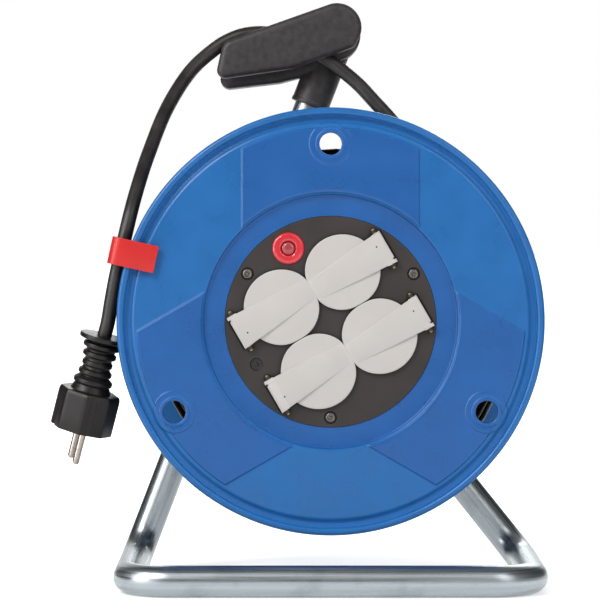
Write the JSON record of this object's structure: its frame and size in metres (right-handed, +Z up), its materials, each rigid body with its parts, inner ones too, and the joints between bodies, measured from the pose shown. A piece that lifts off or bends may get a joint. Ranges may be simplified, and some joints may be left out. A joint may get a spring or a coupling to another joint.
{
  "type": "extension cord reel",
  "caption": "Mains extension cord reel: a flanged plastic drum of black cable turns in a bent steel tube stand with a carrying grip, and holds a plate of lidded sockets.",
  "frame": {"origin": "on the floor, at the centre of the box round the stand, drum and grip without the lead, clip and plug", "axes": "+Z up, -Y towards the side with the sockets, +X to the right as seen from there; the drum turns about Y"},
  "size_m": [0.3386, 0.1893, 0.4067],
  "materials": {
    "galvanised_tube": "bright zinc-plated steel tube",
    "steel_hardware": "zinc-plated steel",
    "spring_steel": "bright spring steel",
    "grip_plastic": "fine-textured black polyamide",
    "bush_plastic": "black moulded plastic",
    "drum_plastic": "blue moulded polypropylene, satin",
    "plate_plastic": "dark grey moulded plastic",
    "lid_plastic": "light grey moulded plastic",
    "reset_red": "red moulded plastic",
    "clip_plastic": "red moulded plastic",
    "cable_rubber": "black cable sheath",
    "plug_rubber": "black moulded rubber",
    "pin_nickel": "nickel-plated brass",
    "contact_brass": "plain brass"
  },
  "bodies": {
    "stand": {"stand_tube": "galvanised_tube", "axle": "steel_hardware", "axle_saddle": "bush_plastic", "axle_rear_washer": "steel_hardware", "axle_nut": "steel_hardware", "thrust_washer": "steel_hardware", "axle_circlip": "steel_hardware", "grip_body": "grip_plastic", "grip_cheek": "grip_plastic", "grip_screws": "steel_hardware", "neck_screw": "steel_hardware", "cable_lead": "cable_rubber", "cable_clip": "clip_plastic", "plug_relief": "plug_rubber", "plug_body": "plug_rubber", "plug_pins": "pin_nickel", "plug_earth_strips": "pin_nickel"},
    "drum": {"front_flange": "drum_plastic", "rear_flange": "drum_plastic", "hub_screws": "steel_hardware", "bearing_bush": "bush_plastic", "cable_core": "cable_rubber", "cable_winding": "cable_rubber", "cable_gland": "bush_plastic", "inner_tail": "cable_rubber", "socket_plate": "plate_plastic", "plate_screws": "steel_hardware", "back_cover": "bush_plastic", "cover_screw": "steel_hardware", "pin_contacts": "contact_brass", "line_bar": "contact_brass", "neutral_bar": "contact_brass", "earth_clips": "spring_steel", "thermal_cutout": "bush_plastic", "reset_collar": "reset_red", "hinge_pins": "contact_brass", "lid_springs": "spring_steel"},
    "lid_1": {"lid_1": "lid_plastic"},
    "lid_2": {"lid_2": "lid_plastic"},
    "lid_3": {"lid_3": "lid_plastic"},
    "lid_4": {"lid_4": "lid_plastic"},
    "reset_button": {"reset_button": "reset_red"}
  },
  "joints": [
    {"name": "drum_spin", "type": "hinge", "parent": "stand", "child": "drum", "pos_m": [0, 0, 0.183], "axis": [0, 1, 0], "continuous": true, "deforming": ["cable_lead"]},
    {"name": "lid_1_hinge", "type": "hinge", "parent": "drum", "child": "lid_1", "pos_m": [0.03584, -0.0516, 0.23259], "axis": [-0.5, 0, 0.866], "range_deg": [0, 100], "stiffness_Nm_per_rad": 0.02, "springref_deg": -22.92},
    {"name": "lid_2_hinge", "type": "hinge", "parent": "drum", "child": "lid_2", "pos_m": [-0.06087, -0.0516, 0.17676], "axis": [0.5, 0, -0.866], "range_deg": [0, 100], "stiffness_Nm_per_rad": 0.02, "springref_deg": -22.92},
    {"name": "lid_3_hinge", "type": "hinge", "parent": "drum", "child": "lid_3", "pos_m": [-0.03584, -0.0516, 0.13341], "axis": [0.5, 0, -0.866], "range_deg": [0, 100], "stiffness_Nm_per_rad": 0.02, "springref_deg": -22.92},
    {"name": "lid_4_hinge", "type": "hinge", "parent": "drum", "child": "lid_4", "pos_m": [0.06087, -0.0516, 0.18924], "axis": [-0.5, 0, 0.866], "range_deg": [0, 100], "stiffness_Nm_per_rad": 0.02, "springref_deg": -22.92},
    {"name": "reset_press", "type": "slide", "parent": "drum", "child": "reset_button", "axis": [0, 1, 0], "range_m": [0, 0.0015], "stiffness_N_per_m": 300, "springref_m": -0.001}
  ]
}
